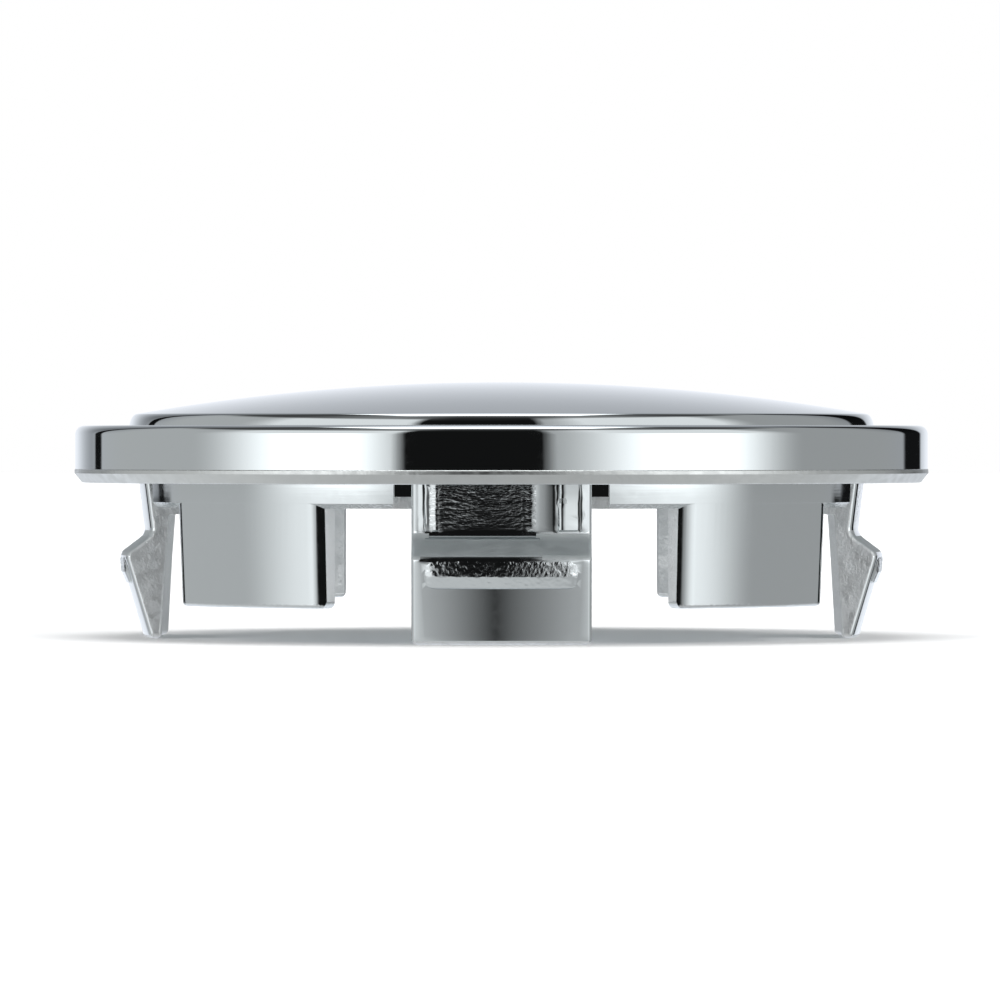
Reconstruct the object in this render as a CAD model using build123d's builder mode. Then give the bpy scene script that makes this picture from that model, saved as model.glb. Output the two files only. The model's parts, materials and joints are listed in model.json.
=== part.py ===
"""Wheel centre cap: a domed, flanged snap-in cap moulded in one piece.

The axis of the cap is Z with the dome up, and the tips of the clips stand on Z = 0.
All sizes are in millimetres and all angles in degrees.
"""

import os
from math import asin, degrees, radians, sqrt, tan

from build123d import *

# Face and flange
flange_diameter = 63.0
flange_height = 4.2
flange_edge_radius = 0.65
rim_wall = 2.0
flange_ledge = 3.95
dome_step = 0.7
dome_rise = 2.5
dome_edge_radius = 0.6
face_wall = 2.0

# Parting line and bevel at the foot of the flange
lip_proud = 0.06
lip_height = 0.28
bevel_depth = 0.5
bevel_height = 0.7
bevel_foot_radius = 0.2

# Skirt ring under the flange
skirt_inset = 4.85
skirt_draft = 2.5
ring_wall = 2.75
ring_depth = 1.75
ring_edge_chamfer = 0.35

# Guide tabs on the diagonals
tab_count = 4
tab_angle = 32.5
tab_wall = 2.15
tab_length = 8.9
tab_inner_draft = 0.5
tab_end_radius = 1.3
tab_foot_chamfer = 0.3

# Snap clips
clip_count = 4
clip_width = 12.8
clip_length = 11.4
clip_root_proud = 0.15
clip_root_wall = 1.6
clip_outer_lean = 6.9
clip_edge_radius = 0.3
slot_width = 1.28
root_block_depth = 0.55

# Barb on each clip
barb_reach = 1.45
barb_drop = 5.2
barb_slope = 53.0
barb_crest_radius = 0.45
neck_radius = 0.3
lead_in_inset = 1.76
tip_wall = 0.82
tip_chamfer = 0.25

# Bead along the crest of each barb
bead_margin = 0.8
bead_rise = 0.4
bead_face_height = 1.75
bead_face_lean = 4.5
bead_underside = 58.0
bead_root_depth = 1.25
bead_edge_radius = 0.4
bead_end_radius = 0.25

# Levels, measured up from the tips of the clips
seat_z = clip_length
flange_top_z = seat_z + flange_height
dome_edge_z = flange_top_z + dome_step
dome_top_z = dome_edge_z + dome_rise
bevel_top_z = seat_z + bevel_height
lip_top_z = bevel_top_z + lip_height
core_z = flange_top_z - face_wall
ring_foot_z = seat_z - ring_depth
block_foot_z = ring_foot_z - root_block_depth
tab_foot_z = seat_z - tab_length
barb_z = seat_z - barb_drop
bead_top_z = barb_z + bead_rise
bead_turn_z = bead_top_z - bead_face_height

# Radii
flange_r = flange_diameter / 2
rim_inner_r = flange_r - rim_wall
dome_r = flange_r - flange_ledge
skirt_r = flange_r - skirt_inset
ring_inner_r = skirt_r - ring_wall
clip_root_r = skirt_r + clip_root_proud
clip_inner_r = clip_root_r - clip_root_wall
barb_r = clip_root_r + barb_reach
tip_outer_r = barb_r - lead_in_inset
tip_inner_r = tip_outer_r - tip_wall
bead_turn_r = barb_r - bead_face_height * tan(radians(bead_face_lean))
bead_root_r = barb_r - bead_root_depth
bead_foot_z = bead_turn_z - (bead_turn_r - bead_root_r) * tan(radians(bead_underside))
dome_sphere_r = (dome_r**2 + dome_rise**2) / (2 * dome_rise)
dome_centre_z = dome_top_z - dome_sphere_r
inner_sphere_r = dome_sphere_r - face_wall


def skirt_outer_r(z):
    """Radius of the drafted outer face of the skirt at a level."""
    return skirt_r - (seat_z - z) * tan(radians(skirt_draft))


tab_inner_r = skirt_outer_r(ring_foot_z) - tab_wall
tab_foot_inner_r = tab_inner_r + (ring_foot_z - tab_foot_z) * tan(radians(tab_inner_draft))


def inner_dome_z(radius):
    """Level of the inside of the dome at a radius."""
    return dome_centre_z + sqrt(inner_sphere_r**2 - radius**2)


# The stem leans in from its root and meets the upper slope of the barb at the neck
lean = tan(radians(clip_outer_lean))
slope = tan(radians(barb_slope))
neck_z = (barb_r - clip_root_r + seat_z * lean + barb_z * slope) / (lean + slope)
neck_r = clip_root_r - (seat_z - neck_z) * lean
clip_top_z = (core_z + flange_top_z) / 2

with BuildPart() as snap_clip:
    # The section of a clip with its barb, turned through more than the clip's width
    with BuildSketch(Plane.XZ) as clip_section:
        with BuildLine():
            FilletPolyline(
                (clip_root_r, clip_top_z),
                (clip_root_r, seat_z),
                (neck_r, neck_z),
                (barb_r, barb_z),
                (tip_outer_r, tip_chamfer),
                (tip_outer_r - tip_chamfer, 0),
                (tip_inner_r + tip_chamfer / 2, 0),
                (tip_inner_r, tip_chamfer),
                (clip_inner_r, block_foot_z),
                (ring_inner_r, block_foot_z),
                (ring_inner_r, clip_top_z),
                radius=(0, neck_radius, barb_crest_radius, 0, 0, 0, 0, 0, 0),
            )
            Line((ring_inner_r, clip_top_z), (clip_root_r, clip_top_z))
        make_face()
    half_turn = 45.0
    revolve(axis=Axis.Z, revolution_arc=half_turn)
    revolve(clip_section.sketch, axis=Axis.Z, revolution_arc=-half_turn)
    # Parallel sides, with every edge round them softened
    with BuildSketch(Plane.XY):
        with Locations((flange_r / 2, 0)):
            Rectangle(flange_r, clip_width)
    extrude(amount=flange_top_z, mode=Mode.INTERSECT)
    side_edges = snap_clip.faces().filter_by(Axis.Y).edges()
    blade_edges = side_edges.filter_by(
        lambda edge: edge.center().Z < block_foot_z - clip_edge_radius
        or (edge.center().X > clip_inner_r and edge.center().Z < seat_z)
    )
    fillet(blade_edges, radius=clip_edge_radius)

with BuildPart() as bead:
    # The bead stops short of both sides of the clip, and its ends are rounded over
    with BuildSketch(Plane.XZ) as bead_section:
        with BuildLine():
            FilletPolyline(
                (bead_root_r, bead_top_z),
                (barb_r, bead_top_z),
                (bead_turn_r, bead_turn_z),
                (bead_root_r, bead_foot_z),
                radius=bead_edge_radius,
            )
            Line((bead_root_r, bead_foot_z), (bead_root_r, bead_top_z))
        make_face()
    bead_half_turn = degrees(asin((clip_width / 2 - bead_margin) / barb_r))
    revolve(axis=Axis.Z, revolution_arc=bead_half_turn)
    revolve(bead_section.sketch, axis=Axis.Z, revolution_arc=-bead_half_turn)
    ends = bead.faces().sort_by(Axis.Y)
    rims = (ends[0].edges() + ends[-1].edges()).filter_by(
        lambda edge: edge.center().X**2 + edge.center().Y**2 > (bead_root_r + bead_end_radius) ** 2
    )
    fillet(rims, radius=bead_end_radius)

# The tabs fill the diagonals, so the gaps between them are centred on the clips
gap_half_angle = (360 / tab_count - tab_angle) / 2
gap_half_width = flange_r * tan(radians(gap_half_angle))

with BuildPart() as ring_trim:
    # What is cut from the outer corner of the ring's foot, over one gap
    with BuildSketch(Plane.XZ):
        with BuildLine():
            Polyline(
                (skirt_outer_r(ring_foot_z) - ring_edge_chamfer, ring_foot_z),
                (skirt_r, ring_foot_z),
                (skirt_r, ring_foot_z + ring_edge_chamfer + skirt_r - skirt_outer_r(ring_foot_z)),
                close=True,
            )
        make_face()
    revolve(axis=Axis.Z, revolution_arc=2 * gap_half_angle)

with BuildPart() as centre_cap:
    # Dome, flange and ring share one section
    with BuildSketch(Plane.XZ) as section:
        with BuildLine():
            RadiusArc((0, dome_top_z), (dome_r, dome_edge_z), dome_sphere_r)
            Polyline(
                (dome_r, dome_edge_z),
                (dome_r, flange_top_z),
                (flange_r, flange_top_z),
                (flange_r, lip_top_z),
                (flange_r + lip_proud, lip_top_z),
                (flange_r + lip_proud, bevel_top_z),
                (flange_r - bevel_depth, seat_z),
                (rim_inner_r, seat_z),
                (rim_inner_r, core_z),
                (skirt_r, core_z),
                (skirt_r, seat_z),
                (skirt_outer_r(tab_foot_z + tab_foot_chamfer), tab_foot_z + tab_foot_chamfer),
                (skirt_outer_r(tab_foot_z) - tab_foot_chamfer, tab_foot_z),
                (tab_foot_inner_r, tab_foot_z),
                (tab_inner_r, ring_foot_z),
                (ring_inner_r, ring_foot_z),
                (ring_inner_r, inner_dome_z(ring_inner_r)),
            )
            RadiusArc(
                (ring_inner_r, inner_dome_z(ring_inner_r)),
                (0, dome_top_z - face_wall),
                -inner_sphere_r,
            )
            Line((0, dome_top_z - face_wall), (0, dome_top_z))
        make_face()
        corners = section.vertices()
        fillet(corners.sort_by_distance((dome_r, dome_edge_z))[0], radius=dome_edge_radius)
        corners = section.vertices()
        fillet(corners.sort_by_distance((flange_r, flange_top_z))[0], radius=flange_edge_radius)
        corners = section.vertices()
        fillet(corners.sort_by_distance((flange_r - bevel_depth, seat_z))[0], radius=bevel_foot_radius)
    revolve(axis=Axis.Z)

    # Four gaps cut up to the foot of the ring leave the tabs standing on the diagonals
    with BuildSketch(Plane.XY.offset(ring_foot_z)):
        with PolarLocations(0, tab_count):
            Polygon((0, 0), (flange_r, -gap_half_width), (flange_r, gap_half_width), align=None)
    extrude(amount=-tab_length, mode=Mode.SUBTRACT)
    end_edges = centre_cap.edges().filter_by(GeomType.LINE).filter_by(
        lambda edge: tab_foot_z < edge.center().Z < ring_foot_z
        and edge.length > tab_length / 2
        and edge.center().X ** 2 + edge.center().Y ** 2 > (skirt_r - tab_wall / 2) ** 2
    )
    fillet(end_edges, radius=tab_end_radius)
    with PolarLocations(0, tab_count, start_angle=-gap_half_angle):
        add(ring_trim.part, mode=Mode.SUBTRACT)

    # A window in the outer half of the ring for every clip leaves a slot at each side of it
    with BuildSketch(Plane.XY.offset(core_z)):
        with PolarLocations(0, clip_count):
            with Locations((flange_r / 2, 0)):
                Rectangle(flange_r, clip_width + 2 * slot_width)
        Circle((skirt_r + rim_inner_r) / 2, mode=Mode.INTERSECT)
        Circle(clip_inner_r, mode=Mode.SUBTRACT)
    extrude(amount=ring_foot_z - core_z, mode=Mode.SUBTRACT)

    with PolarLocations(0, clip_count):
        add(snap_clip.part)
        add(bead.part)

centre_cap.part.label = "centre_cap"
os.makedirs("parts", exist_ok=True)
export_step(centre_cap.part, "parts/centre_cap.step")
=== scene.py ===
"""Dressed model of a wheel centre cap: one plated moulding, modelled smooth for the eye.

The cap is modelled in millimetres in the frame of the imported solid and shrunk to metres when
it is finished. Z is the axis of the cap, the tips of its clips stand on Z = 0, and the camera
looks along +Y at the clip on the -Y side.
"""

import json
import logging
import math
from collections.abc import Callable, Sequence
from dataclasses import astuple, dataclass, field
from enum import Enum

import bmesh
import bpy
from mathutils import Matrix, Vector

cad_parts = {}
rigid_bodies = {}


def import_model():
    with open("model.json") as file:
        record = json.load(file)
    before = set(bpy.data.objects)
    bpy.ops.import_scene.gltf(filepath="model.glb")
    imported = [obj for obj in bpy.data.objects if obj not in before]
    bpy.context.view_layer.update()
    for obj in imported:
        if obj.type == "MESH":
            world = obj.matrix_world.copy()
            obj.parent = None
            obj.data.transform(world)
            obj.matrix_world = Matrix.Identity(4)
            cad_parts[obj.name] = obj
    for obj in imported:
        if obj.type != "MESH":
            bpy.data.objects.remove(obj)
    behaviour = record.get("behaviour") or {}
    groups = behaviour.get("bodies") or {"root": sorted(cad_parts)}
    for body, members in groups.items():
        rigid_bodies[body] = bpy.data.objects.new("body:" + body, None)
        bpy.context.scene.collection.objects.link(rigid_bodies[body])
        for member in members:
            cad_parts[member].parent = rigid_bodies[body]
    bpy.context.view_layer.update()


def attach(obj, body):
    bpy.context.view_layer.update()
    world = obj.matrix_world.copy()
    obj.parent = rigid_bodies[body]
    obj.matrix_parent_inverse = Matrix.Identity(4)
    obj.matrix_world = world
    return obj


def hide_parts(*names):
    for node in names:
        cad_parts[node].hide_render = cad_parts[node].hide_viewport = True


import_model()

log = logging.getLogger("centre_cap")

METRES_PER_MM = 0.001
WELD_MM = 0.0005
DEGENERATE_MM = WELD_MM / 5
CUT_MM = WELD_MM / 10
DEGREES_PER_RADIAN = 180 / math.pi

# Limits of the upward part of a normal: a face that stands upright, and one that looks down
UPRIGHT = 0.1
DOWNWARD = -0.3

Point = tuple[float, float]
VertexTest = Callable[[Vector], bool]
EdgeTest = Callable[[Vector, Vector], bool]
FaceTest = Callable[[Vector, Vector], bool]
Coat = tuple["Plate", FaceTest]


class Plate(Enum):
    """Finishes of the plated moulding, in the order of the material slots."""

    MIRROR = 0
    MOULDED = 1
    STEM = 2
    RIPPLED = 3
    SATIN = 4
    # Cast texture, with a colour painted far lighter than the rest of the plating: painted light
    CAST = 5
    INNER = 6
    # Frosted texture, with a near-white, partly diffuse colour: painted light
    FROST = 7


@dataclass(frozen=True)
class Corner:
    """One corner of an outline and the radius that rounds it."""

    x: float
    y: float
    radius: float = 0.0
    steps: int = 8


def rounded(corners: Sequence[Corner]) -> list[Point]:
    """Rounds the corners of an open outline.

    Args:
        corners: The corners in order; the first and the last stay sharp.

    Returns:
        The points of the outline, with an arc in place of each corner that has a radius.
    """
    points: list[Point] = []
    for index, corner in enumerate(corners):
        if corner.radius == 0 or index in (0, len(corners) - 1):
            points.append((corner.x, corner.y))
            continue
        here = Vector((corner.x, corner.y))
        back = (Vector((corners[index - 1].x, corners[index - 1].y)) - here).normalized()
        ahead = (Vector((corners[index + 1].x, corners[index + 1].y)) - here).normalized()
        half = back.angle(ahead) / 2
        centre = here + (back + ahead).normalized() * corner.radius / math.sin(half)
        start = here + back * corner.radius / math.tan(half) - centre
        sweep = math.pi - 2 * half
        if back.x * ahead.y - back.y * ahead.x > 0:
            sweep = -sweep
        for step in range(corner.steps + 1):
            turn = sweep * step / corner.steps
            points.append(
                (
                    centre.x + start.x * math.cos(turn) - start.y * math.sin(turn),
                    centre.y + start.x * math.sin(turn) + start.y * math.cos(turn),
                )
            )
    return points


def spaced(points: Sequence[Point], step: float) -> list[Point]:
    """Adds points to an outline so that no two neighbours lie further apart than a step.

    Args:
        points: The outline.
        step: The largest distance between neighbours.

    Returns:
        The finer outline.
    """
    finer = [points[0]]
    for here, there in zip(points, points[1:]):
        parts = max(1, math.ceil(math.dist(here, there) / step))
        for part in range(1, parts + 1):
            share = part / parts
            finer.append(
                (here[0] + (there[0] - here[0]) * share, here[1] + (there[1] - here[1]) * share)
            )
    return finer


def every_face(at: Vector, normal: Vector) -> bool:
    """Passes every face, wherever it lies and whichever way it looks."""
    return True


class Bench:
    """Modelling steps that every sub-assembly uses."""

    @staticmethod
    def chain(name: str, points: Sequence[Vector]) -> bpy.types.Object:
        """Draws a chain of edges, one vertex extruded from the last.

        Args:
            name: The name of the new object.
            points: The places of the vertices, in millimetres.

        Returns:
            The new object, left in edit mode with the whole chain selected.
        """
        bpy.ops.object.select_all(action="DESELECT")
        bpy.ops.mesh.primitive_plane_add(size=1.0, location=(0, 0, 0))
        piece = bpy.context.object
        piece.name = name
        bpy.ops.object.mode_set(mode="EDIT")
        bpy.ops.mesh.select_mode(type="VERT")
        bpy.ops.mesh.select_all(action="SELECT")
        bpy.ops.mesh.merge(type="CENTER")
        bpy.ops.transform.translate(value=points[0])
        for here, there in zip(points, points[1:]):
            bpy.ops.mesh.extrude_vertices_move(TRANSFORM_OT_translate={"value": there - here})
        bpy.ops.mesh.select_all(action="SELECT")
        return piece

    @staticmethod
    def clean() -> None:
        """Welds doubles and turns every face of the mesh in edit mode outward."""
        bpy.ops.mesh.select_all(action="SELECT")
        bpy.ops.mesh.remove_doubles(threshold=WELD_MM)
        bpy.ops.mesh.dissolve_degenerate(threshold=DEGENERATE_MM)
        bpy.ops.mesh.normals_make_consistent(inside=False)
        if bmesh.from_edit_mesh(bpy.context.edit_object.data).calc_volume(signed=True) < 0:
            bpy.ops.mesh.flip_normals()

    @staticmethod
    def swept(
        name: str, section: Sequence[Point], half_turn: float, columns: int
    ) -> bpy.types.Object:
        """Sweeps a closed section round the axis, to both sides of +X.

        Args:
            name: The name of the new object.
            section: The section as radius and level.
            half_turn: How far the sweep goes to each side, in degrees.
            columns: How many steps the sweep has.

        Returns:
            The closed solid, left in edit mode.
        """
        start = math.radians(half_turn)
        outline = [Vector((r * math.cos(start), r * math.sin(start), z)) for r, z in section]
        piece = Bench.chain(name, outline)
        bpy.ops.mesh.edge_face_add()
        bpy.ops.mesh.spin(
            steps=columns, angle=math.radians(2 * half_turn), center=(0, 0, 0), axis=(0, 0, 1)
        )
        Bench.clean()
        return piece

    @staticmethod
    def trim(spot: Sequence[float], normal: Sequence[float]) -> None:
        """Cuts off what lies beyond the plane at a spot, and closes the cut."""
        bpy.ops.mesh.select_all(action="SELECT")
        bpy.ops.mesh.bisect(
            plane_co=spot, plane_no=normal, use_fill=True, clear_outer=True, threshold=CUT_MM
        )

    @staticmethod
    def round_off(
        corner: Vector, outward: Vector, radius: float, turns: Sequence[float]
    ) -> None:
        """Cuts a lower corner round, seen from the side.

        Args:
            corner: A point on the corner.
            outward: The level direction out of the corner.
            radius: The radius of the rounding.
            turns: How far each cut faces down, in degrees.
        """
        centre = corner - radius * outward + Vector((0, 0, radius))
        for turn in turns:
            down = math.radians(turn)
            normal = outward * math.cos(down) - Vector((0, 0, math.sin(down)))
            Bench.trim(centre + radius * normal, normal)

    @staticmethod
    def _select(mode: str, parts: str, test: Callable[..., bool]) -> None:
        """Selects the parts of the mesh in edit mode that pass a test.

        Args:
            mode: VERT, EDGE or FACE.
            parts: The name of the mesh's list of such parts.
            test: Takes a part, and says whether it is wanted.
        """
        bpy.ops.mesh.select_mode(type=mode)
        bpy.ops.mesh.select_all(action="DESELECT")
        mesh = bpy.context.edit_object.data
        shape = bmesh.from_edit_mesh(mesh)
        for part in getattr(shape, parts):
            part.select_set(test(part))
        bmesh.update_edit_mesh(mesh)

    @staticmethod
    def select_vertices(test: VertexTest) -> None:
        """Selects the vertices in edit mode whose places pass a test."""
        Bench._select("VERT", "verts", lambda vertex: test(vertex.co))

    @staticmethod
    def select_edges(test: EdgeTest) -> None:
        """Selects the edges in edit mode whose two ends pass a test."""
        Bench._select("EDGE", "edges", lambda edge: test(edge.verts[0].co, edge.verts[1].co))

    @staticmethod
    def select_faces(test: FaceTest) -> None:
        """Selects the faces in edit mode whose centres and normals pass a test."""
        Bench._select("FACE", "faces", lambda face: test(face.calc_center_median(), face.normal))

    @staticmethod
    def dress(piece: bpy.types.Object, finishes: "Finishes", coats: Sequence[Coat]) -> None:
        """Gives a piece its material slots, and its faces their finishes.

        Args:
            piece: The piece, selected and active.
            finishes: The materials.
            coats: The finishes with the tests of their faces, a later one over an earlier one.
        """
        for plate in Plate:
            bpy.ops.object.material_slot_add()
            piece.material_slots[plate.value].material = finishes.of(plate)
        bpy.ops.object.mode_set(mode="EDIT")
        for plate, test in coats:
            Bench.select_faces(test)
            piece.active_material_index = plate.value
            bpy.ops.object.material_slot_assign()
        bpy.ops.object.mode_set(mode="OBJECT")

    @staticmethod
    def displace(
        piece: bpy.types.Object,
        name: str,
        grain: float,
        strength: float,
        depth: int = 2,
        direction: str = "NORMAL",
    ) -> None:
        """Moves the vertices in the first vertex group of a piece by a cloudy noise.

        Args:
            piece: The piece, active.
            name: The name of the noise.
            grain: The size of its clouds.
            strength: How far it moves the vertices.
            depth: How many layers of detail it has.
            direction: NORMAL, or the axis that the vertices move along.
        """
        clouds = bpy.data.textures.new(name, "CLOUDS")
        clouds.noise_scale = grain
        clouds.noise_depth = depth
        modifier = piece.modifiers.new(name, "DISPLACE")
        modifier.texture = clouds
        modifier.texture_coords = "LOCAL"
        modifier.direction = direction
        modifier.strength = strength
        modifier.vertex_group = piece.vertex_groups[0].name
        bpy.ops.object.modifier_apply(modifier=modifier.name)

    @staticmethod
    def pick(pieces: Sequence[bpy.types.Object]) -> None:
        """Selects some objects and nothing else, and makes the first of them active.

        Args:
            pieces: The objects.
        """
        bpy.ops.object.select_all(action="DESELECT")
        for piece in pieces:
            piece.select_set(True)
        bpy.context.view_layer.objects.active = pieces[0]

    @staticmethod
    def ring_of(piece: bpy.types.Object, angles: Sequence[float]) -> bpy.types.Object:
        """Copies a piece round the axis and joins the copies.

        Args:
            piece: The piece, modelled on the +X side and used up.
            angles: Where the copies stand, in degrees from +X.

        Returns:
            One object that holds every copy.
        """
        copies = []
        for angle in angles:
            Bench.pick([piece])
            bpy.ops.object.duplicate(linked=False)
            copy = bpy.context.object
            copy.rotation_euler.z = math.radians(angle)
            bpy.ops.object.transform_apply(location=False, rotation=True, scale=False)
            copies.append(copy)
        bpy.data.objects.remove(piece, do_unlink=True)
        Bench.pick(copies)
        bpy.ops.object.join()
        return bpy.context.object

    @staticmethod
    def combine(piece: bpy.types.Object, other: bpy.types.Object, operation: str) -> None:
        """Cuts another object out of a piece or adds it to the piece, and uses it up.

        Args:
            piece: The piece that stays.
            other: The object that is cut out or added.
            operation: DIFFERENCE or UNION.
        """
        Bench.pick([piece])
        modifier = piece.modifiers.new(operation.lower(), "BOOLEAN")
        modifier.operation = operation
        modifier.solver = "EXACT"
        modifier.object = other
        bpy.ops.object.modifier_apply(modifier=modifier.name)
        bpy.data.objects.remove(other, do_unlink=True)


@dataclass
class TurnedBody:
    """Dome, flange and skirt ring: everything on the cap that is round."""

    flange_r: float = 31.5
    flange_top_z: float = 15.6
    flange_edge_r: float = 0.65
    dome_r: float = 27.55
    dome_edge_z: float = 16.36
    dome_top_z: float = 18.8
    shoulder_reach: float = 0.6
    shoulder_drop: float = 1.3
    face_wall: float = 2.0
    lip_proud: float = 0.05
    lip_top_z: float = 12.38
    bevel_top_z: float = 12.1
    bevel_depth: float = 0.5
    bevel_foot_r: float = 0.2
    seat_z: float = 11.4
    rim_inner_r: float = 29.5
    core_z: float = 13.6
    skirt_r: float = 26.65
    skirt_draft: float = 2.5
    ring_foot_z: float = 9.65
    ring_chamfer: float = 0.35
    ring_inner_r: float = 23.9
    lip_edge_r: float = 0.03
    rim_edge_r: float = 0.15
    groove_r: float = 0.3
    hollow_r: float = 0.6
    hollow_margin: float = 1.0
    segments: int = 288
    dome_rings: int = 26
    hollow_rings: int = 14
    shoulder_steps: int = 12
    flange_edge_steps: int = 12
    foot_steps: int = 5
    edge_steps: int = 3
    inner_facing: float = 0.2
    foot_facing: float = -0.2

    @property
    def sphere_r(self) -> float:
        """Gives the radius of the sphere that the dome is a part of."""
        rise = self.dome_top_z - self.dome_edge_z
        return (self.dome_r**2 + rise**2) / (2 * rise)

    def skirt_outer_r(self, z: float) -> float:
        """Gives the radius of the drafted outer face of the skirt at a level."""
        return self.skirt_r - (self.seat_z - z) * math.tan(math.radians(self.skirt_draft))

    def dome_z(self, radius: float, inset: float = 0.0) -> float:
        """Gives the level at a radius of the dome, or of a surface inside it by an inset."""
        sphere_r = self.sphere_r
        return self.dome_top_z - sphere_r + math.sqrt((sphere_r - inset) ** 2 - radius**2)

    def shoulder(self) -> list[Corner]:
        """Gives the quarter of an ellipse that leads from the dome down to the flange.

        Returns:
            The points, from the dome down.
        """
        aspect = self.shoulder_drop / self.shoulder_reach
        top_turn = math.pi / 2 - math.asin(self.dome_r / self.sphere_r) / aspect
        centre_r = self.dome_r - self.shoulder_reach
        top_r = centre_r + self.shoulder_reach * math.cos(top_turn)
        centre_z = self.dome_z(top_r) - self.shoulder_drop * math.sin(top_turn)
        foot_turn = math.asin((self.flange_top_z - centre_z) / self.shoulder_drop)
        steps = self.shoulder_steps
        turns = [top_turn + (foot_turn - top_turn) * step / steps for step in range(steps + 1)]
        return [
            Corner(
                centre_r + self.shoulder_reach * math.cos(turn),
                centre_z + self.shoulder_drop * math.sin(turn),
            )
            for turn in turns
        ]

    def section(self) -> list[Point]:
        """Gives the half section from the top of the dome round to the inside of it.

        Returns:
            The points as radius and level.
        """
        foot_r = self.skirt_outer_r(self.ring_foot_z)
        chamfer_r = self.skirt_outer_r(self.ring_foot_z + self.ring_chamfer)
        lip_r = self.flange_r + self.lip_proud
        shoulder = self.shoulder()
        dome_steps = [shoulder[0].x * step / self.dome_rings for step in range(self.dome_rings)]
        corners = [Corner(radius, self.dome_z(radius)) for radius in dome_steps]
        corners += shoulder
        hollow_top_z = self.dome_z(self.ring_inner_r, self.face_wall)
        corners += [
            Corner(self.flange_r, self.flange_top_z, self.flange_edge_r, self.flange_edge_steps),
            Corner(self.flange_r, self.lip_top_z + self.lip_proud / 2),
            Corner(lip_r, self.lip_top_z - self.lip_proud / 2),
            Corner(lip_r, self.bevel_top_z, self.lip_edge_r, self.edge_steps),
            Corner(
                self.flange_r - self.bevel_depth, self.seat_z, self.bevel_foot_r, self.foot_steps
            ),
            Corner(self.rim_inner_r, self.seat_z, self.rim_edge_r, self.edge_steps),
            Corner(self.rim_inner_r, self.core_z, self.groove_r, self.edge_steps),
            Corner(self.skirt_r, self.core_z, self.groove_r, self.edge_steps),
            Corner(self.skirt_r, self.seat_z),
            Corner(chamfer_r, self.ring_foot_z + self.ring_chamfer),
            Corner(foot_r - self.ring_chamfer, self.ring_foot_z),
            Corner(self.ring_inner_r, self.ring_foot_z, self.rim_edge_r, self.edge_steps),
            Corner(self.ring_inner_r, hollow_top_z, self.hollow_r, self.foot_steps),
        ]
        for ring in reversed(range(self.hollow_rings)):
            radius = self.ring_inner_r * ring / self.hollow_rings
            corners.append(Corner(radius, self.dome_z(radius, self.face_wall)))
        return rounded(corners)

    def build(self) -> bpy.types.Object:
        """Turns the section round the axis.

        Returns:
            The closed body.
        """
        chain = [Vector((radius, 0.0, z)) for radius, z in self.section()]
        piece = Bench.chain("cap_shell", chain)
        bpy.ops.mesh.spin(
            steps=self.segments, angle=2 * math.pi, center=(0, 0, 0), axis=(0, 0, 1)
        )
        Bench.clean()
        bpy.ops.object.mode_set(mode="OBJECT")
        return piece

    def dress(self, piece: bpy.types.Object, finishes: "Finishes") -> None:
        """Puts the finishes on the body.

        Args:
            piece: The body, active.
            finishes: The materials.
        """
        lip_z = self.lip_top_z + self.lip_proud / 2
        bevel_r = self.flange_r - self.bevel_depth - self.bevel_foot_r
        hollow_z = self.flange_top_z - self.hollow_margin
        foot_z = self.ring_foot_z + self.ring_chamfer
        coats = (
            (Plate.SATIN, lambda at, normal: at.z < lip_z or normal.z < DOWNWARD),
            (
                Plate.INNER,
                lambda at, normal: at.xy.length < bevel_r
                and normal.z < self.inner_facing
                and at.z < self.flange_top_z,
            ),
            (Plate.INNER, lambda at, normal: at.z > hollow_z and normal.z < DOWNWARD),
            (
                Plate.MOULDED,
                lambda at, normal: at.z < self.seat_z
                and normal.dot(at) > 0
                and abs(normal.z) < UPRIGHT,
            ),
            (Plate.RIPPLED, lambda at, normal: at.z < foot_z and normal.z < self.foot_facing),
        )
        Bench.dress(piece, finishes, coats)

    def cutters(
        self, count: int, width: float, inner_r: float, foot_z: float, top_z: float
    ) -> bpy.types.Object:
        """Makes the cutters of the windows that the clips stand in.

        Args:
            count: How many windows there are.
            width: How wide each one is.
            inner_r: How deep into the ring each one goes, as the distance from the axis.
            foot_z: Where each one starts.
            top_z: Where each one ends.

        Returns:
            One object that holds every cutter.
        """
        outer_r = (self.skirt_r + self.rim_inner_r) / 2
        bpy.ops.object.select_all(action="DESELECT")
        bpy.ops.mesh.primitive_cube_add(
            size=1.0,
            location=((inner_r + outer_r) / 2, 0, (top_z + foot_z) / 2),
            scale=(outer_r - inner_r, width, top_z - foot_z),
        )
        cutter = bpy.context.object
        bpy.ops.object.transform_apply(location=True, rotation=True, scale=True)
        return Bench.ring_of(cutter, [360 * index / count for index in range(count)])


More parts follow.
